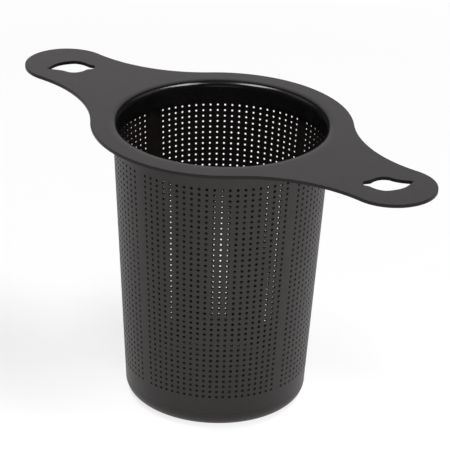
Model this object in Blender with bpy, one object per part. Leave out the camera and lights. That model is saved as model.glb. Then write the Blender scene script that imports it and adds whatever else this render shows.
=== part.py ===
"""Brew-in-cup basket strainer: a stamped rim plate with two wing handles, a tapered sheet
wall hung from the plate's drawn neck, and a stamped base cup that closes the wall's foot.

Metres, +Z up. The origin is the centre of the base cup's underside, the basket's axis is Z
and the wings lie along X.
"""

import bmesh
import bpy
import numpy as np
from math import atan2, cos, pi, radians, sin

# Overall sizes
HEIGHT = 0.0718
PLATE_THICKNESS = 0.00085
NECK_THICKNESS = 0.0006
WALL_THICKNESS = 0.00027
CUP_THICKNESS = 0.0005
FIT_GAP = 0.0003
HEAD_GAP = 0.00055

# Rim plate outline: ring, hollow sides and round wing tips, all tangent arcs
RING_RADIUS = 0.0318
TIP_RADIUS = 0.01065
TIP_CENTRE_X = 0.05225
HOLLOW_RADIUS = 0.0346

# Drawn mouth: a tight bend, thinning as it turns down into a straight neck
BEND_START_RADIUS = 0.02668
BEND_RADIUS = 0.0016
BEND_STEPS = 7
NECK_DEPTH = 0.0048

# Basket wall: outer radii extrapolated to the base plane and to the plate's top
WALL_RADIUS_BASE = 0.02215
WALL_RADIUS_TOP = 0.0265
WALL_FOOT_Z = 0.0042

# Base cup
CORNER_RADIUS = 0.0033
SHOULDER_Z = WALL_FOOT_Z - FIT_GAP
SKIRT_TOP_Z = 0.0074

# Hang holes: leaf-shaped, one in each wing, seen along the leaf from its stalk
LEAF_TURN = radians(47.3)
LEAF_CENTRES = ((0.0506, 0.0003), (-0.0499, -0.00075))

# Facets
ROUND_STEPS = 96
ARC_STEP = radians(6)
CORNER_STEP = radians(15)
CURVE_STEPS = 6

COATING = (0.045, 0.044, 0.044, 1.0)


def clear_scene():
    for obj in list(bpy.data.objects):
        bpy.data.objects.remove(obj)


def wall_radius(z):
    """Outer radius of the tapered wall at height z."""
    return WALL_RADIUS_BASE + (WALL_RADIUS_TOP - WALL_RADIUS_BASE) * z / HEIGHT


def arc(centre, radius, start, end, step=ARC_STEP):
    """Points along an arc, from one angle to the other, both ends included."""
    steps = max(2, round(abs(end - start) / step))
    angles = np.linspace(start, end, steps + 1)
    return [(centre[0] + radius * cos(a), centre[1] + radius * sin(a)) for a in angles]


def plate_quarter():
    """Outline from the wing tip (+X) round to the ring (+Y): tip, hollow side, ring."""
    reach_ring = RING_RADIUS + HOLLOW_RADIUS
    reach_tip = TIP_RADIUS + HOLLOW_RADIUS
    x = (reach_ring**2 - reach_tip**2 + TIP_CENTRE_X**2) / (2 * TIP_CENTRE_X)
    y = (reach_ring**2 - x**2) ** 0.5
    tip_end = atan2(y, x - TIP_CENTRE_X)
    ring_start = atan2(y, x)
    tip = arc((TIP_CENTRE_X, 0), TIP_RADIUS, 0, tip_end)
    hollow = arc((x, y), HOLLOW_RADIUS, tip_end - pi, ring_start - pi)
    ring = arc((0, 0), RING_RADIUS, ring_start, pi / 2)
    return tip + hollow[1:-1] + ring


def plate_outline():
    quarter = plate_quarter()
    half = quarter + [(-x, y) for x, y in quarter[-2::-1]]
    return half + [(x, -y) for x, y in half[-2:0:-1]]


def bezier(p0, p1, p2, p3):
    """Points of a cubic curve without its last point."""
    points = []
    for t in np.arange(CURVE_STEPS) / CURVE_STEPS:
        s = 1 - t
        weights = (s**3, 3 * s * s * t, 3 * s * t * t, t**3)
        points.append(tuple(np.dot(weights, (p0, p1, p2, p3))))
    return points


def leaf_outline(centre, turn):
    """Leaf with a short stalk, anticlockwise, in millimetres before it is placed."""
    stalk_top, stalk_end = (-5.35, 1.1), (-5.75, -0.75)
    stalk_low, stalk_high = (-4.3, -1.65), (-3.65, 1.45)
    belly, tip, crown = (-0.55, -4.2), (6.2, 0.7), (1.0, 3.1)
    outline = [stalk_top, stalk_end]
    outline += bezier(stalk_low, (-3.6, -2.7), (-2.2, -4.2), belly)
    outline += bezier(belly, (3.4, -3.55), (4.3, -2.15), tip)
    outline += bezier(tip, (5.7, 0.95), (2.6, 1.3), crown)
    outline += bezier(crown, (-0.1, 3.5), (-1.7, 3.9), stalk_high)
    outline += [stalk_high]
    c, s = cos(turn), sin(turn)
    return [
        (centre[0] + (c * u - s * v) / 1000, centre[1] + (s * u + c * v) / 1000)
        for u, v in outline
    ]


def circle(radius):
    angles = np.arange(ROUND_STEPS) * 2 * pi / ROUND_STEPS
    return [(radius * cos(a), radius * sin(a)) for a in angles]


def neck_profile():
    """(radius, z) from the end of the flat top over the lip, down the neck and back up outside."""
    centre_z = HEIGHT - BEND_RADIUS
    foot_z = HEIGHT - NECK_DEPTH
    inner, outer = [], []
    for a in np.linspace(0, pi / 2, BEND_STEPS + 1):
        sheet = PLATE_THICKNESS + (NECK_THICKNESS - PLATE_THICKNESS) * a / (pi / 2)
        for rows, bend in ((inner, BEND_RADIUS), (outer, BEND_RADIUS - sheet)):
            rows.append((BEND_START_RADIUS - bend * sin(a), centre_z + bend * cos(a)))
    inner.append((inner[-1][0], foot_z))
    outer.append((outer[-1][0], foot_z))
    return inner + outer[::-1]


def loop_at(bm, points, z):
    return [bm.verts.new((x, y, z)) for x, y in points]


def ring_edges(bm, loop):
    return [bm.edges.new((a, b)) for a, b in zip(loop, loop[1:] + loop[:1])]


def bridge(bm, lower, upper):
    """Quads between two closed loops with as many points each."""
    pairs = list(zip(lower, upper))
    for (a, d), (b, c) in zip(pairs, pairs[1:] + pairs[:1]):
        bm.faces.new((a, b, c, d))


def fill_flat(bm, loops):
    """Triangles over the flat region between an outer loop and the holes in it."""
    edges = [edge for loop in loops for edge in ring_edges(bm, loop)]
    bmesh.ops.triangle_fill(bm, edges=edges, use_beauty=True, use_dissolve=False)


def coating_material(name, roughness):
    material = bpy.data.materials.new(name)
    material.use_nodes = True
    shader = material.node_tree.nodes["Principled BSDF"]
    shader.inputs["Base Color"].default_value = COATING
    shader.inputs["Roughness"].default_value = roughness
    shader.inputs["Metallic"].default_value = 0.6
    material.diffuse_color = COATING
    return material


def finish_object(bm, name, roughness):
    bmesh.ops.recalc_face_normals(bm, faces=bm.faces)
    mesh = bpy.data.meshes.new(name)
    bm.to_mesh(mesh)
    bm.free()
    mesh.shade_smooth()
    mesh.set_sharp_from_angle(angle=radians(30))
    mesh.materials.append(coating_material(name, roughness))
    obj = bpy.data.objects.new(name, mesh)
    bpy.context.scene.collection.objects.link(obj)
    return obj


def turned(name, profile, roughness):
    """Closed (radius, z) profile turned about Z."""
    bm = bmesh.new()
    loops = [loop_at(bm, circle(radius), z) for radius, z in profile]
    for lower, upper in zip(loops, loops[1:] + loops[:1]):
        bridge(bm, lower, upper)
    return finish_object(bm, name, roughness)


def make_rim_plate():
    """Flat stamped plate, two leaf holes and the drawn neck, as one closed sheet."""
    bm = bmesh.new()
    outlines = [plate_outline()]
    outlines += [
        leaf_outline(centre, LEAF_TURN + (pi if centre[0] < 0 else 0)) for centre in LEAF_CENTRES
    ]
    neck = [loop_at(bm, circle(radius), z) for radius, z in neck_profile()]
    top = [loop_at(bm, points, HEIGHT) for points in outlines]
    under = [loop_at(bm, points, HEIGHT - PLATE_THICKNESS) for points in outlines]
    fill_flat(bm, top + [neck[0]])
    fill_flat(bm, under + [neck[-1]])
    for low, high in zip(under, top):
        bridge(bm, low, high)
    for row, next_row in zip(neck, neck[1:]):
        bridge(bm, row, next_row)
    return finish_object(bm, "rim_plate", 0.38)


def make_basket_wall():
    """Rolled sheet, tapered, from the cup's shoulder to just under the plate's bend."""
    head_z = HEIGHT - PLATE_THICKNESS - HEAD_GAP
    profile = [
        (wall_radius(WALL_FOOT_Z), WALL_FOOT_Z),
        (wall_radius(head_z), head_z),
        (wall_radius(head_z) - WALL_THICKNESS, head_z),
        (wall_radius(WALL_FOOT_Z) - WALL_THICKNESS, WALL_FOOT_Z),
    ]
    return turned("basket_wall", profile, 0.42)


def corner_arc(radius, centre_r, centre_z):
    """(radius, z) round the cup's corner, from the flat floor up to the upright side."""
    return arc((centre_r, centre_z), radius, -pi / 2, 0, CORNER_STEP)


def make_base_cup():
    """Flat floor, rounded corner, and a skirt stepped in at a shoulder to fit in the wall."""
    centre_r = wall_radius(CORNER_RADIUS) - CORNER_RADIUS
    step_in = WALL_THICKNESS + FIT_GAP
    step_z = SHOULDER_Z - CUP_THICKNESS
    outside = corner_arc(CORNER_RADIUS, centre_r, CORNER_RADIUS)
    outside += [
        (wall_radius(SHOULDER_Z), SHOULDER_Z),
        (wall_radius(SHOULDER_Z) - step_in, SHOULDER_Z),
        (wall_radius(SKIRT_TOP_Z) - step_in, SKIRT_TOP_Z),
    ]
    inside = [
        (wall_radius(SKIRT_TOP_Z) - step_in - CUP_THICKNESS, SKIRT_TOP_Z),
        (wall_radius(step_z) - step_in - CUP_THICKNESS, step_z),
        (wall_radius(step_z) - CUP_THICKNESS, step_z),
    ]
    inner_corner = CORNER_RADIUS - CUP_THICKNESS
    inside += corner_arc(inner_corner, centre_r, CORNER_RADIUS)[::-1]
    bm = bmesh.new()
    loops = [loop_at(bm, circle(radius), z) for radius, z in outside + inside]
    for lower, upper in zip(loops, loops[1:]):
        bridge(bm, lower, upper)
    bm.faces.new(loops[0])
    bm.faces.new(loops[-1])
    return finish_object(bm, "base_cup", 0.42)


def main():
    clear_scene()
    make_rim_plate()
    make_basket_wall()
    make_base_cup()


main()
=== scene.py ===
"""Brewing basket strainer: fine meshes, coated-metal materials and a plain white studio."""

from math import atan2, ceil, cos, hypot, pi, radians, sin

import bmesh
import bpy
import numpy as np
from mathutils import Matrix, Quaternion, Vector


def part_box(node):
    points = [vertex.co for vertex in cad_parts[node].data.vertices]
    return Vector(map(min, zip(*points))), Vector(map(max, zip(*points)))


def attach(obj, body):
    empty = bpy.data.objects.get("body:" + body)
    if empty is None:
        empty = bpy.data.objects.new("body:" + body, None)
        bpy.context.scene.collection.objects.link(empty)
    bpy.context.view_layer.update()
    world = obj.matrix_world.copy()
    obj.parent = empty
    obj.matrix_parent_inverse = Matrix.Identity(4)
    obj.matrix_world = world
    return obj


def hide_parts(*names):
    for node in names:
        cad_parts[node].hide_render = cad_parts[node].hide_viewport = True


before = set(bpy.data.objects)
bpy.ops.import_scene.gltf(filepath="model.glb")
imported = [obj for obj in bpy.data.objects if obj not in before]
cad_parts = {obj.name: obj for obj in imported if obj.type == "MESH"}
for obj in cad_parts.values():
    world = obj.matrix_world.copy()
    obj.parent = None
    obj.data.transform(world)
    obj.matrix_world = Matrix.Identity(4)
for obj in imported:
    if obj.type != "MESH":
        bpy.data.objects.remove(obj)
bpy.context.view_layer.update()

MM = 0.001

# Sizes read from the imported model
RIM_LOW, RIM_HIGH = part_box("rim_plate")
WALL_LOW, WALL_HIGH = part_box("basket_wall")
CUP_LOW, CUP_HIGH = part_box("base_cup")
HEIGHT = RIM_HIGH.z
RING_RADIUS = RIM_HIGH.y
NECK_FOOT_Z = RIM_LOW.z
SHOULDER_RADIUS = CUP_HIGH.x

# Sheets
PLATE_THICKNESS = 0.85 * MM
NECK_THICKNESS = 0.60 * MM
WALL_THICKNESS = 0.27 * MM
CUP_THICKNESS = 0.50 * MM
HEAD_GAP = 0.40 * MM
EDGE_ROUND = 0.12 * MM
JOINT_LINE = 0.02 * MM

# Rim plate
TIP_RADIUS = 10.65 * MM
TIP_CENTRE_X = RIM_HIGH.x - TIP_RADIUS
HOLLOW_RADIUS = 34.6 * MM
BEND_START_RADIUS = 26.68 * MM
BEND_RADIUS = 1.6 * MM
SINK_RADIUS = 12 * MM
SINK_ANGLE = radians(6.5)

# Leaf-shaped hang holes; the corner cut is in the leaf's own millimetres
LEAF_TURN = radians(47.3)
LEAF_CENTRES = ((50.6 * MM, 0.3 * MM), (-49.9 * MM, -0.75 * MM))
LEAF_CORNER = 0.15
BLUNT_ENOUGH = radians(150)

# Perforation of the wall: four fields of columns with blank strips, one of them the seam
HOLE_RADII = (0.385 * MM, 0.238 * MM)
HOLE_SIDES = 12
FIELDS = 4
FIELD_COLUMNS = 21
ROWS = 40
STRIP_PITCHES = 2.0
SEAM_PITCHES = 3.19
ROW_PITCH = 1.454 * MM
TOP_ROW_Z = 65.5 * MM
FIRST_FIELD_CENTRE = radians(-51.86)
PLAIN_CELLS_LOW = 3
PLAIN_CELLS_HIGH = 4

# Seam: where the two ends lap, as shares of the strip's width. The outer end stands out by
# LAP_STEP between its rise and its fall, and the inner end stands in likewise
LAP_STEP = 0.10 * MM
OUTER_RISE = (0.25, 0.33)
OUTER_FALL = (0.66, 0.67)
INNER_RISE = (0.33, 0.34)
INNER_FALL = (0.66, 0.80)
SEAM_STATIONS = (0, 0.25, 0.33, 0.34, 0.5, 0.66, 0.67, 0.8)
STRIP_STATIONS = (0, 0.5)

# Base cup: the step's inner face starts below the shoulder's underside and ends above it
CORNER_RADIUS = 3.3 * MM
CORNER_STEP = radians(6)
CORNER_CLEARANCE = 0.05 * MM
SHOULDER_Z = 3.9 * MM
SKIRT_GAP = 0.05 * MM
STEP_BELOW = 0.1 * MM
STEP_ABOVE = 0.3 * MM
FLOOR_PITCH = 1.6 * MM
FLOOR_HOLE_REACH = 16.3 * MM

# Fineness of the meshes
ROUND_STEPS = 256
ARC_STEP = radians(1.5)
CURVE_STEPS = 16
EDGE_STEPS = 4
SINK_STEPS = 3
BEND_STEPS = 23
SHARP_ANGLE = radians(35)

# Coatings: base colour, roughness, specular level and size of the grain in millimetres
PLATE_COATING = ((0.0045, 0.0042, 0.0043), 0.20, 0.50, 0.35)
SHEET_COATING = ((0.0125, 0.0083, 0.0072), 0.45, 0.50, 0.30)
# Edge coatings, darker and duller than the faces: partly the edges' own colour, partly painted
# shade on the leaf holes' walls and the plate's outer side
OUTER_EDGE_AND_SHADE = ((0.006, 0.006, 0.006), 0.40, 0.30, 0.20)
CUT_EDGE_AND_SHADE = ((0.004, 0.004, 0.004), 0.60, 0.15, 0.20)
COATING_IOR = 1.42
MOTTLE_MM = 7.0
MOTTLE_SHARE = 0.12
GLOSS_MM = 2.2
GLOSS_CHANGE = 0.02
GRAIN_STRENGTH = 0.12
GRAIN_HEIGHT = 0.01 * MM
NOISE_MIDDLE = (0.3, 0.7)

# Camera
CAMERA_AIM = Vector((1.04, 0.90, 44.4)) * MM
CAMERA_DISTANCE = 683.7 * MM
CAMERA_AZIMUTH = radians(40.92)
CAMERA_ELEVATION = radians(25.19)
CAMERA_ROLL = radians(1.71)
CAMERA_LENS = 223.3

# World: brightness by elevation in degrees, on the boards behind and before the basket and in
# the room; the boards' side edges are angles from the camera's line
SKY_TINT = (1.0, 0.95, 0.975)
BOARD_SKY = ((9, 0.04), (13, 0.90), (19, 0.72), (27, 0.71), (36, 0.04))
BOARD_EDGE = (radians(14), radians(21))
DARK_LEVEL = 0.04
DARK_EDGE = (radians(26), radians(35.5))
ROOM_SKY = ((1.6, 1.0), (2.6, 0.06), (60, 0.04))

# Floor: a painted glow, though it is no lamp: a painted pool of light in front of the basket, a
# painted contact shadow under it, more glow far off
FLOOR_RADIUS = 6.0
FLOOR_SIDES = 96
FLOOR_DROP = 0.02 * MM
FLOOR_ALBEDO = 0.3
FLOOR_ROUGHNESS = 0.9
# Painted pool of light: the floor glows brightest round a point in front of the basket
LIGHT_POOL_DISTANCE = 170 * MM
LIGHT_POOL_TURN = radians(20)
GLOW_SPAN = (60 * MM, 230 * MM)
GLOW_LEVELS = (1.15, 0.63)
FAR_GLOW_SPAN = (220 * MM, 600 * MM)
FAR_GLOW_LEVELS = (0, 0.36)
# Painted contact shadow: the floor's glow drops to a fifth under the basket
CONTACT_SHADOW_SPAN = (15 * MM, 20.5 * MM)
CONTACT_SHADOW_LEVELS = (0.2, 1)

# Lights: a softbox almost overhead on the camera's right and left, and a dim one further back.
# A softbox has a name, a side, an elevation and a size in metres
SOFTBOXES = (
    ("right", 1, radians(68.2), (0.50, 0.25)),
    ("left", -1, radians(73.2), (0.50, 0.255)),
)
SOFTBOX_TURN = radians(90)
SOFTBOX_DISTANCE = 1.0
SOFTBOX_RADIANCE = 17.0
FILL_TURN = radians(112)
FILL_ELEVATION = radians(43)
FILL_DISTANCE = 1.1
FILL_SIZE = (0.60, 0.50)
FILL_RADIANCE = 0.6


# ---------------------------------------------------------------- outlines


def taper():
    """Wall's slope: metres of radius gained per metre of height."""
    return (WALL_HIGH.x - SHOULDER_RADIUS) / (WALL_HIGH.z - SHOULDER_Z)


def wall_radius(z):
    """Outer radius of the wall at height z."""
    return WALL_HIGH.x + taper() * (z - WALL_HIGH.z)


def arc(centre, radius, start, end, step=ARC_STEP):
    """Points along an arc, both ends included."""
    steps = max(2, ceil(abs(end - start) / step))
    angles = np.linspace(start, end, steps + 1)
    return [(centre[0] + radius * cos(a), centre[1] + radius * sin(a)) for a in angles]


def circle(radius):
    angles = np.arange(ROUND_STEPS) * 2 * pi / ROUND_STEPS
    return [(radius * cos(a), radius * sin(a)) for a in angles]


def plate_outline(inset):
    """The plate's outline, moved inwards by inset: tangent arcs keep their centres."""
    reach_ring = RING_RADIUS + HOLLOW_RADIUS
    reach_tip = TIP_RADIUS + HOLLOW_RADIUS
    x = (reach_ring**2 - reach_tip**2 + TIP_CENTRE_X**2) / (2 * TIP_CENTRE_X)
    y = (reach_ring**2 - x**2) ** 0.5
    tip_end = atan2(y, x - TIP_CENTRE_X)
    ring_start = atan2(y, x)
    tip = arc((TIP_CENTRE_X, 0), TIP_RADIUS - inset, 0, tip_end)
    hollow = arc((x, y), HOLLOW_RADIUS + inset, tip_end - pi, ring_start - pi)
    ring = arc((0, 0), RING_RADIUS - inset, ring_start, pi / 2)
    quarter = tip + hollow[1:-1] + ring
    half = quarter + [(-x, y) for x, y in quarter[-2::-1]]
    return half + [(x, -y) for x, y in half[-2:0:-1]]


def bezier(p0, p1, p2, p3):
    """Points of a cubic curve without its last point."""
    points = []
    for t in np.arange(CURVE_STEPS) / CURVE_STEPS:
        s = 1 - t
        weights = (s**3, 3 * s * s * t, 3 * s * t * t, t**3)
        points.append(tuple(np.dot(weights, (p0, p1, p2, p3))))
    return points


def leaf_shape():
    """Leaf with a short stalk, anticlockwise, in millimetres, its tip towards +X."""
    stalk_top, stalk_end = (-5.35, 1.1), (-5.75, -0.75)
    stalk_low, stalk_high = (-4.3, -1.65), (-3.65, 1.45)
    belly, tip, crown = (-0.55, -4.2), (6.2, 0.7), (1.0, 3.1)
    outline = bezier(stalk_low, (-3.6, -2.7), (-2.2, -4.2), belly)
    outline += bezier(belly, (3.4, -3.55), (4.3, -2.15), tip)
    outline += bezier(tip, (5.7, 0.95), (2.6, 1.3), crown)
    outline += bezier(crown, (-0.1, 3.5), (-1.7, 3.9), stalk_high)
    corners = [stalk_high, stalk_top, stalk_end]
    return rounded(corners + outline, LEAF_CORNER)


def rounded(points, radius):
    """A closed outline with its sharp corners cut to short curves about radius long."""
    smooth = []
    for before, corner, after in zip(points[-1:] + points[:-1], points, points[1:] + points[:1]):
        corner = Vector(corner)
        back, on = Vector(before) - corner, Vector(after) - corner
        if back.angle(on) > BLUNT_ENOUGH:
            smooth.append(tuple(corner))
            continue
        start = corner + back.normalized() * min(radius, back.length / 2)
        end = corner + on.normalized() * min(radius, on.length / 2)
        for t in (0, 0.25, 0.5, 0.75, 1):
            smooth.append(tuple(start * (1 - t) ** 2 + corner * 2 * t * (1 - t) + end * t * t))
    return smooth


def spread(points, distance):
    """A closed anticlockwise outline moved outwards along its normals."""
    ring = np.array(points)
    along = np.roll(ring, -1, axis=0) - np.roll(ring, 1, axis=0)
    along /= np.linalg.norm(along, axis=1)[:, None]
    return ring + distance * np.stack([along[:, 1], -along[:, 0]], axis=1)


def leaf_outline(centre, distance):
    """One wing's hang hole, widened by distance, in the plate's plane."""
    turn = LEAF_TURN + (pi if centre[0] < 0 else 0)
    turned = np.array([[cos(turn), sin(turn)], [-sin(turn), cos(turn)]])
    placed = spread(leaf_shape(), distance / MM) @ turned * MM + centre
    return [tuple(point) for point in placed]


def rounded_edge(z_high, z_low):
    """(inset, z) from the top face over a rounded edge, down the side and under it."""
    angles = np.linspace(0, pi / 2, EDGE_STEPS + 1)
    top = [(EDGE_ROUND * (1 - sin(a)), z_high - EDGE_ROUND * (1 - cos(a))) for a in angles]
    under = [(inset, z_low + z_high - z) for inset, z in top[::-1]]
    return top + under


# ---------------------------------------------------------------- mesh helpers


def loop_at(bm, points, z):
    return [bm.verts.new((x, y, z)) for x, y in points]


def bridge(bm, lower, upper, slot=0):
    """Quads between two closed loops with as many points each."""
    pairs = list(zip(lower, upper))
    for (a, d), (b, c) in zip(pairs, pairs[1:] + pairs[:1]):
        bm.faces.new((a, b, c, d)).material_index = slot


def bridge_rows(bm, rows, slot=0):
    for row, next_row in zip(rows, rows[1:]):
        bridge(bm, row, next_row, slot)


def loop_edges(bm, loops):
    """The edges of closed loops, made where there are none yet."""
    edges = []
    for loop in loops:
        for pair in zip(loop, loop[1:] + loop[:1]):
            edges.append(bm.edges.get(pair) or bm.edges.new(pair))
    return edges


def fill_flat(bm, edges):
    """Triangles over the flat region between an outer loop of edges and the holes in it."""
    bmesh.ops.triangle_fill(bm, edges=edges, use_beauty=True, use_dissolve=False)


def finish_mesh(bm, name, node, materials):
    """Makes the object, lets it ride on the frame and stand for its CAD node."""
    bmesh.ops.recalc_face_normals(bm, faces=bm.faces)
    mesh = bpy.data.meshes.new(name)
    bm.to_mesh(mesh)
    bm.free()
    mesh.shade_smooth()
    mesh.set_sharp_from_angle(angle=SHARP_ANGLE)
    for material in materials:
        mesh.materials.append(material)
    obj = bpy.data.objects.new(name, mesh)
    bpy.context.scene.collection.objects.link(obj)
    weighted = obj.modifiers.new("face_weighted_normals", "WEIGHTED_NORMAL")
    weighted.keep_sharp = True
    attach(obj, "root")
    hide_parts(node)


# ---------------------------------------------------------------- perforated sheet


class PerforatedSheet:
    """A two-sided sheet on a grid of stations, some cells of which hold a round hole.

    place(u, v, side) puts the sheet coordinates (u, v) in space: side 0 is the front, 1 the back.
    scale(u, v) is how many metres one unit of u and of v cover there.
    A closed sheet's last station in u is its first one again.
    """

    def __init__(self, bm, us, vs, place, scale, closed=False):
        self.bm, self.us, self.vs = bm, us, vs
        self.place, self.scale, self.closed = place, scale, closed
        self.grid = {}

    def corner(self, i, j, side):
        if self.closed:
            i %= len(self.us) - 1
        key = (i, j, side)
        if key not in self.grid:
            self.grid[key] = self.bm.verts.new(self.place(self.us[i], self.vs[j], side))
        return self.grid[key]

    def corners(self, i, j, side):
        """The four corners of cell (i, j), anticlockwise from its far one."""
        steps = ((1, 1), (0, 1), (0, 0), (1, 0))
        return [self.corner(i + di, j + dj, side) for di, dj in steps]

    def plain_cell(self, i, j):
        self.bm.faces.new(self.corners(i, j, 0))
        self.bm.faces.new(self.corners(i, j, 1)[::-1])

    def holed_cell(self, i, j):
        u = (self.us[i] + self.us[i + 1]) / 2
        v = (self.vs[j] + self.vs[j + 1]) / 2
        per_u, per_v = self.scale(u, v)
        angles = pi / 4 + np.arange(HOLE_SIDES) * 2 * pi / HOLE_SIDES
        rims = []
        for side, radius in enumerate(HOLE_RADII):
            rim = []
            for a in angles:
                at = (u + radius * cos(a) / per_u, v + radius * sin(a) / per_v)
                rim.append(self.bm.verts.new(self.place(*at, side)))
            self.collar(self.corners(i, j, side), rim, side)
            rims.append(rim)
        bridge(self.bm, *rims)

    def collar(self, corners, rim, side):
        """Faces from a cell's four corners to the hole's rim: three to a side of the cell."""
        quarter = HOLE_SIDES // 4
        for k in range(4):
            here, there = corners[k], corners[(k + 1) % 4]
            a, b, c, d = (rim[(k * quarter + m) % HOLE_SIDES] for m in range(4))
            for face in ((here, b, a), (here, there, c, b), (there, d, c)):
                self.bm.faces.new(face if side == 0 else face[::-1])

    def open_edges(self, side):
        """The edges along the outline of the cells made so far, on one side."""
        corners = [corner for key, corner in self.grid.items() if key[2] == side]
        own = set(corners)
        found = {}
        for corner in corners:
            for edge in corner.link_edges:
                if edge.is_boundary and edge.other_vert(corner) in own:
                    found[edge] = True
        return list(found)


# ---------------------------------------------------------------- pieces


def neck_profile():
    """Inner and outer (radius, z) rows of the drawn mouth: faint sink, thinning bend, neck."""
    sink_r = BEND_START_RADIUS + (SINK_RADIUS - BEND_RADIUS) * sin(SINK_ANGLE)
    centre_z = HEIGHT - SINK_RADIUS + (SINK_RADIUS - BEND_RADIUS) * cos(SINK_ANGLE)
    inner, outer = [], []
    for a in np.linspace(0, SINK_ANGLE, SINK_STEPS + 1)[:-1]:
        r, z = sink_r - SINK_RADIUS * sin(a), HEIGHT - SINK_RADIUS * (1 - cos(a))
        inner.append((r, z))
        outer.append((r + PLATE_THICKNESS * sin(a), z - PLATE_THICKNESS * cos(a)))
    for a in np.linspace(SINK_ANGLE, pi / 2, BEND_STEPS + 1):
        thinned = (PLATE_THICKNESS - NECK_THICKNESS) * (a - SINK_ANGLE) / (pi / 2 - SINK_ANGLE)
        tight = BEND_RADIUS - PLATE_THICKNESS + thinned
        inner.append((BEND_START_RADIUS - BEND_RADIUS * sin(a), centre_z + BEND_RADIUS * cos(a)))
        outer.append((BEND_START_RADIUS - tight * sin(a), centre_z + tight * cos(a)))
    inner_foot, outer_foot = inner[-1][0], outer[-1][0]
    inner += [(inner_foot, NECK_FOOT_Z + EDGE_ROUND), (inner_foot + EDGE_ROUND, NECK_FOOT_Z)]
    outer += [(outer_foot, NECK_FOOT_Z + EDGE_ROUND), (outer_foot - EDGE_ROUND, NECK_FOOT_Z)]
    return inner, outer


def make_rim_plate(face, leaf_edge_and_shade, outline_edge_and_shade):
    """Stamped plate with rounded edges, leaf-shaped hang holes and the drawn neck."""
    bm = bmesh.new()
    edge = rounded_edge(HEIGHT, HEIGHT - PLATE_THICKNESS)
    rims = [(plate_outline, 2)]
    rims += [(lambda inset, c=centre: leaf_outline(c, inset), 1) for centre in LEAF_CENTRES]
    tops, unders = [], []
    for rim, slot in rims:
        rows = [loop_at(bm, rim(inset), z) for inset, z in edge]
        bridge_rows(bm, rows, slot)
        tops.append(rows[0])
        unders.append(rows[-1])
    inner, outer = neck_profile()
    rows = [loop_at(bm, circle(r), z) for r, z in inner + outer[::-1]]
    bridge_rows(bm, rows)
    fill_flat(bm, loop_edges(bm, tops + [rows[0]]))
    fill_flat(bm, loop_edges(bm, unders + [rows[-1]]))
    finish_mesh(bm, "rim_plate_stamped", "rim_plate", (face, leaf_edge_and_shade, outline_edge_and_shade))


def wall_stations():
    """Angles of the grid's columns, which of the cells between them hold holes, and the seam."""
    blanks = (FIELDS - 1) * STRIP_PITCHES + SEAM_PITCHES
    pitch = 2 * pi / (FIELDS * (FIELD_COLUMNS - 1) + blanks)
    start = FIRST_FIELD_CENTRE - FIELD_COLUMNS / 2 * pitch
    stations, holed = [], []
    for strip in (STRIP_PITCHES, STRIP_PITCHES, SEAM_PITCHES, STRIP_PITCHES):
        for _ in range(FIELD_COLUMNS):
            stations.append(start)
            holed.append(True)
            start += pitch
        width = (strip - 1) * pitch
        shares = STRIP_STATIONS
        if strip == SEAM_PITCHES:
            seam = (start, width)
            shares = SEAM_STATIONS
        for share in shares:
            stations.append(start + share * width)
            holed.append(False)
        start += width
    return stations + [stations[0] + 2 * pi], holed, seam


def wall_levels():
    """Heights of the grid's rows, from the foot up, and which cells hold holes."""
    low = TOP_ROW_Z - (ROWS - 0.5) * ROW_PITCH
    high = TOP_ROW_Z + ROW_PITCH / 2
    foot = SHOULDER_Z + JOINT_LINE
    head = HEIGHT - PLATE_THICKNESS - HEAD_GAP
    levels = list(np.linspace(foot, low, PLAIN_CELLS_LOW + 1)[:-1])
    levels += [low + k * ROW_PITCH for k in range(ROWS)]
    levels += list(np.linspace(high, head, PLAIN_CELLS_HIGH + 1))
    holed = [False] * PLAIN_CELLS_LOW + [True] * ROWS + [False] * PLAIN_CELLS_HIGH
    return levels, holed


def plateau(share, rise, fall):
    """0 before the rise, 1 between rise and fall, 0 after the fall, and straight in between."""
    up = (share - rise[0]) / (rise[1] - rise[0])
    down = (fall[1] - share) / (fall[1] - fall[0])
    return min(max(min(up, down), 0), 1)


def make_basket_wall(coating):
    """Rolled sheet with 3,360 real holes and a lapped, flattened seam."""
    stations, holed_columns, (seam_start, seam_width) = wall_stations()
    levels, holed_rows = wall_levels()

    def place(u, v, side):
        share = (u - seam_start) / seam_width
        if side == 0:
            r = wall_radius(v) + LAP_STEP * plateau(share, OUTER_RISE, OUTER_FALL)
        else:
            r = wall_radius(v) - WALL_THICKNESS - LAP_STEP * plateau(share, INNER_RISE, INNER_FALL)
        return (r * cos(u), r * sin(u), v)

    def scale(u, v):
        return wall_radius(v), 1

    bm = bmesh.new()
    sheet = PerforatedSheet(bm, stations, levels, place, scale, closed=True)
    for i, holed_column in enumerate(holed_columns):
        for j, holed_row in enumerate(holed_rows):
            if holed_column and holed_row:
                sheet.holed_cell(i, j)
            else:
                sheet.plain_cell(i, j)
    for j in (0, len(levels) - 1):
        front, back = ([sheet.corner(i, j, s) for i in range(len(holed_columns))] for s in (0, 1))
        bridge(bm, front, back)
    finish_mesh(bm, "basket_wall_perforated", "basket_wall", (coating,))


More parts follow.
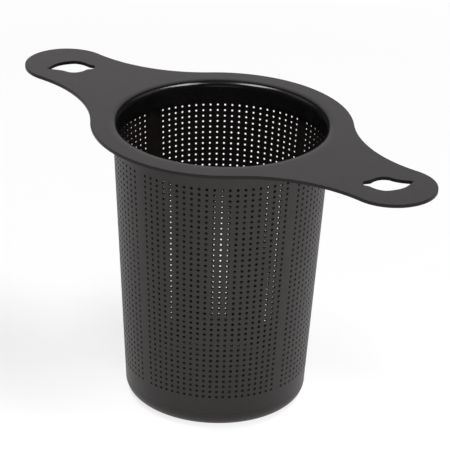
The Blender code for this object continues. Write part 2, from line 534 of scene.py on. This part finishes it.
def cup_profile():
    """(radius, z) rows of the cup, from the floor's underside round to the floor's top."""
    centre = (wall_radius(CORNER_RADIUS) - CORNER_RADIUS, CORNER_RADIUS)
    step_in = WALL_THICKNESS + SKIRT_GAP
    step_z = SHOULDER_Z - CUP_THICKNESS
    skirt_top = CUP_HIGH.z
    skirt_r = wall_radius(skirt_top) - step_in
    outside = arc(centre, CORNER_RADIUS, -pi / 2, 0, CORNER_STEP)
    outside += [
        (wall_radius(SHOULDER_Z - JOINT_LINE), SHOULDER_Z - JOINT_LINE),
        (wall_radius(SHOULDER_Z) - JOINT_LINE, SHOULDER_Z),
        (wall_radius(SHOULDER_Z) - step_in, SHOULDER_Z),
        (skirt_r, skirt_top - EDGE_ROUND),
        (skirt_r - EDGE_ROUND, skirt_top),
    ]
    inside = [
        (skirt_r - CUP_THICKNESS + EDGE_ROUND, skirt_top),
        (skirt_r - CUP_THICKNESS, skirt_top - EDGE_ROUND),
        (wall_radius(step_z) - step_in - CUP_THICKNESS, step_z + STEP_ABOVE),
        (wall_radius(step_z) - CUP_THICKNESS, step_z - STEP_BELOW),
    ]
    corner = arc(centre, CORNER_RADIUS - CUP_THICKNESS, -pi / 2, 0, CORNER_STEP)
    highest = inside[-1][1] - CORNER_CLEARANCE
    inside += [point for point in corner[::-1] if point[1] < highest]
    return outside + inside


def make_base_cup(coating):
    """Pressed cup: holed floor, rounded corner, and a skirt stepped in under the wall."""
    bm = bmesh.new()
    rows = [loop_at(bm, circle(r), z) for r, z in cup_profile()]
    bridge_rows(bm, rows)

    def place(u, v, side):
        return (u, v, CUP_THICKNESS * side)

    def scale(u, v):
        return 1, 1

    count = int(FLOOR_HOLE_REACH / FLOOR_PITCH) + 2
    stations = [(k - 0.5) * FLOOR_PITCH for k in range(-count, count + 2)]
    middles = [station + FLOOR_PITCH / 2 for station in stations[:-1]]
    sheet = PerforatedSheet(bm, stations, stations, place, scale)
    for i, x in enumerate(middles):
        for j, y in enumerate(middles):
            if hypot(x, y) < FLOOR_HOLE_REACH:
                sheet.holed_cell(i, j)
    for side, rim in ((0, rows[0]), (1, rows[-1])):
        fill_flat(bm, sheet.open_edges(side) + loop_edges(bm, [rim]))
    finish_mesh(bm, "base_cup_perforated", "base_cup", (coating,))


# ---------------------------------------------------------------- materials


class Wiring:
    """Adds nodes to one node tree. Each method returns the new node's output."""

    def __init__(self, tree):
        self.nodes, self.links = tree.nodes, tree.links

    def coordinates(self, kind):
        return self.nodes.new("ShaderNodeTexCoord").outputs[kind]

    def spanned(self, source, ends, levels=(0, 1), smooth=True):
        """The source taken from the range ends to the range levels, and held beyond them."""
        span = self.nodes.new("ShaderNodeMapRange")
        span.interpolation_type = "SMOOTHSTEP" if smooth else "LINEAR"
        span.inputs["From Min"].default_value = ends[0]
        span.inputs["From Max"].default_value = ends[1]
        span.inputs["To Min"].default_value = levels[0]
        span.inputs["To Max"].default_value = levels[1]
        self.links.new(source, span.inputs["Value"])
        return span.outputs["Result"]

    def math(self, operation, *sources):
        node = self.nodes.new("ShaderNodeMath")
        node.operation = operation
        for source, socket in zip(sources, node.inputs):
            self.links.new(source, socket)
        return node.outputs["Value"]

    def vector_math(self, operation, source, operand=None, output="Vector"):
        node = self.nodes.new("ShaderNodeVectorMath")
        node.operation = operation
        if operand is not None:
            node.inputs[1].default_value = operand
        self.links.new(source, node.inputs[0])
        return node.outputs[output]

    def noise(self, where, size_mm, detail):
        texture = self.nodes.new("ShaderNodeTexNoise")
        texture.inputs["Scale"].default_value = 1 / (size_mm * MM)
        texture.inputs["Detail"].default_value = detail
        self.links.new(where, texture.inputs["Vector"])
        return texture.outputs["Fac"]

    def colour_mix(self, factor):
        mix = self.nodes.new("ShaderNodeMix")
        mix.data_type = "RGBA"
        self.links.new(factor, mix.inputs["Factor"])
        return mix


def coated_metal(name, coating, seed):
    """Satin black coating: faint mottling in colour and gloss, and a fine orange-peel."""
    base, roughness, specular, grain_mm = coating
    material = bpy.data.materials.new(name)
    material.use_nodes = True
    wiring = Wiring(material.node_tree)
    shader = wiring.nodes["Principled BSDF"]
    shader.inputs["Metallic"].default_value = 0.0
    shader.inputs["IOR"].default_value = COATING_IOR
    shader.inputs["Specular IOR Level"].default_value = specular

    shift = wiring.nodes.new("ShaderNodeMapping")
    shift.inputs["Location"].default_value = (seed, seed * 0.7, seed * 0.3)
    wiring.links.new(wiring.coordinates("Object"), shift.inputs["Vector"])
    where = shift.outputs["Vector"]

    mottle = wiring.noise(where, MOTTLE_MM, 3)
    tint = wiring.colour_mix(wiring.spanned(mottle, NOISE_MIDDLE, smooth=False))
    for socket, share in (("A", 1 - MOTTLE_SHARE), ("B", 1 + MOTTLE_SHARE)):
        tint.inputs[socket].default_value = (*[c * share for c in base], 1)
    wiring.links.new(tint.outputs["Result"], shader.inputs["Base Color"])

    gloss_levels = (roughness - GLOSS_CHANGE, roughness + GLOSS_CHANGE)
    gloss = wiring.noise(where, GLOSS_MM, 4)
    rough = wiring.spanned(gloss, NOISE_MIDDLE, gloss_levels, smooth=False)
    wiring.links.new(rough, shader.inputs["Roughness"])

    grain = wiring.nodes.new("ShaderNodeBump")
    grain.inputs["Strength"].default_value = GRAIN_STRENGTH
    grain.inputs["Distance"].default_value = GRAIN_HEIGHT
    wiring.links.new(wiring.noise(where, grain_mm, 2), grain.inputs["Height"])
    wiring.links.new(grain.outputs["Normal"], shader.inputs["Normal"])
    return material


# ---------------------------------------------------------------- studio


def direction(azimuth, elevation):
    """Unit vector from the object towards a viewer at that azimuth and elevation."""
    return Vector(
        (sin(azimuth) * cos(elevation), -cos(azimuth) * cos(elevation), sin(elevation))
    )


def make_floor():
    """White floor with a painted glow, though it is no lamp: a painted pool of light in front of
    the basket, a painted contact shadow under it, more glow far off.
    """
    bm = bmesh.new()
    bmesh.ops.create_circle(bm, cap_ends=True, segments=FLOOR_SIDES, radius=FLOOR_RADIUS)
    mesh = bpy.data.meshes.new("studio_floor")
    bm.to_mesh(mesh)
    bm.free()
    floor = bpy.data.objects.new("studio_floor", mesh)
    floor.location.z = -FLOOR_DROP
    bpy.context.scene.collection.objects.link(floor)
    material = bpy.data.materials.new("white_floor")
    material.use_nodes = True
    wiring = Wiring(material.node_tree)
    shader = wiring.nodes["Principled BSDF"]
    shader.inputs["Base Color"].default_value = (FLOOR_ALBEDO, FLOOR_ALBEDO, FLOOR_ALBEDO, 1)
    shader.inputs["Roughness"].default_value = FLOOR_ROUGHNESS
    shader.inputs["Specular IOR Level"].default_value = 0.0
    shader.inputs["Emission Color"].default_value = (1, 1, 1, 1)

    where = wiring.coordinates("Object")
    spot = direction(CAMERA_AZIMUTH + LIGHT_POOL_TURN, 0) * LIGHT_POOL_DISTANCE
    from_spot = wiring.vector_math("DISTANCE", where, spot, "Value")
    from_basket = wiring.vector_math("LENGTH", where, output="Value")
    # Painted pool of light: the glow is strongest in front of the basket
    light_pool = wiring.spanned(from_spot, GLOW_SPAN, GLOW_LEVELS)
    far = wiring.spanned(from_basket, FAR_GLOW_SPAN, FAR_GLOW_LEVELS)
    # Painted contact shadow: less glow under the basket
    contact = wiring.spanned(from_basket, CONTACT_SHADOW_SPAN, CONTACT_SHADOW_LEVELS)
    glow = wiring.math("MULTIPLY", wiring.math("ADD", light_pool, far), contact)
    wiring.links.new(glow, shader.inputs["Emission Strength"])
    mesh.materials.append(material)


def sky_ramp(wiring, height, stops):
    """Brightness by elevation: stops are (elevation in degrees, level)."""
    ramp = wiring.nodes.new("ShaderNodeValToRGB")
    wiring.links.new(height, ramp.inputs["Fac"])
    elements = ramp.color_ramp.elements
    while len(elements) < len(stops):
        elements.new(0.5)
    for element, (elevation, level) in zip(elements, stops):
        element.position = sin(radians(elevation))
        element.color = (*[level * share for share in SKY_TINT], 1)
    return ramp.outputs["Color"]


def make_world():
    """A lit board behind the basket and one facing it, dark beside them, and a dim room.

    Beyond the dark, the room is white along the horizon, where a far floor would be.
    """
    world = bpy.data.worlds.new("studio")
    bpy.context.scene.world = world
    world.use_nodes = True
    wiring = Wiring(world.node_tree)
    where = wiring.coordinates("Generated")
    split = wiring.nodes.new("ShaderNodeSeparateXYZ")
    wiring.links.new(where, split.inputs["Vector"])
    height = split.outputs["Z"]

    level = wiring.vector_math("MULTIPLY", where, (1, 1, 0))
    heading = wiring.vector_math("NORMALIZE", level)
    line = direction(CAMERA_AZIMUTH, 0)
    along = wiring.math("ABSOLUTE", wiring.vector_math("DOT_PRODUCT", heading, line, "Value"))

    def mixed(outside, inside, edge):
        """From the outside colour to the inside one, between two angles from the line."""
        mix = wiring.colour_mix(wiring.spanned(along, (cos(edge[1]), cos(edge[0]))))
        wiring.links.new(outside, mix.inputs["A"])
        wiring.links.new(inside, mix.inputs["B"])
        return mix.outputs["Result"]

    dark = wiring.nodes.new("ShaderNodeRGB")
    dark.outputs["Color"].default_value = (DARK_LEVEL, DARK_LEVEL, DARK_LEVEL, 1)
    boards = mixed(dark.outputs["Color"], sky_ramp(wiring, height, BOARD_SKY), BOARD_EDGE)
    sky = mixed(sky_ramp(wiring, height, ROOM_SKY), boards, DARK_EDGE)
    wiring.links.new(sky, wiring.nodes["Background"].inputs["Color"])


def soft_light(name, azimuth, elevation, distance, size, radiance):
    """Rectangular softbox aimed at the basket's mouth; azimuth counts as the camera's does."""
    data = bpy.data.lights.new(name, "AREA")
    data.shape = "RECTANGLE"
    data.size, data.size_y = size
    data.energy = radiance * pi * size[0] * size[1]
    light = bpy.data.objects.new(name, data)
    bpy.context.scene.collection.objects.link(light)
    back = direction(azimuth, elevation)
    light.location = Vector((0, 0, HEIGHT)) + back * distance
    light.rotation_euler = back.to_track_quat("Z", "Y").to_euler()


def make_lights():
    for name, side, elevation, size in SOFTBOXES:
        turn = CAMERA_AZIMUTH + side * SOFTBOX_TURN
        soft_light(f"softbox_{name}", turn, elevation, SOFTBOX_DISTANCE, size, SOFTBOX_RADIANCE)
        turn = CAMERA_AZIMUTH + side * FILL_TURN
        soft_light(f"fill_{name}", turn, FILL_ELEVATION, FILL_DISTANCE, FILL_SIZE, FILL_RADIANCE)


def make_camera():
    data = bpy.data.cameras.new("camera")
    data.lens = CAMERA_LENS
    camera = bpy.data.objects.new("camera", data)
    bpy.context.scene.collection.objects.link(camera)
    back = direction(CAMERA_AZIMUTH, CAMERA_ELEVATION)
    camera.location = CAMERA_AIM + back * CAMERA_DISTANCE
    level = back.to_track_quat("Z", "Y")
    camera.rotation_euler = (level @ Quaternion((0, 0, 1), CAMERA_ROLL)).to_euler()
    bpy.context.scene.camera = camera


def main():
    bpy.context.scene.view_settings.view_transform = "Standard"
    make_camera()
    make_rim_plate(
        coated_metal("plate_coating", PLATE_COATING, 1.0),
        # The edge coatings carry painted shade on the hole walls and the plate's outer side
        coated_metal("cut_edge_and_shade", CUT_EDGE_AND_SHADE, 4.0),
        coated_metal("outer_edge_and_shade", OUTER_EDGE_AND_SHADE, 5.0),
    )
    make_basket_wall(coated_metal("wall_coating", SHEET_COATING, 2.0))
    make_base_cup(coated_metal("cup_coating", SHEET_COATING, 3.0))
    make_floor()
    make_world()
    make_lights()


main()
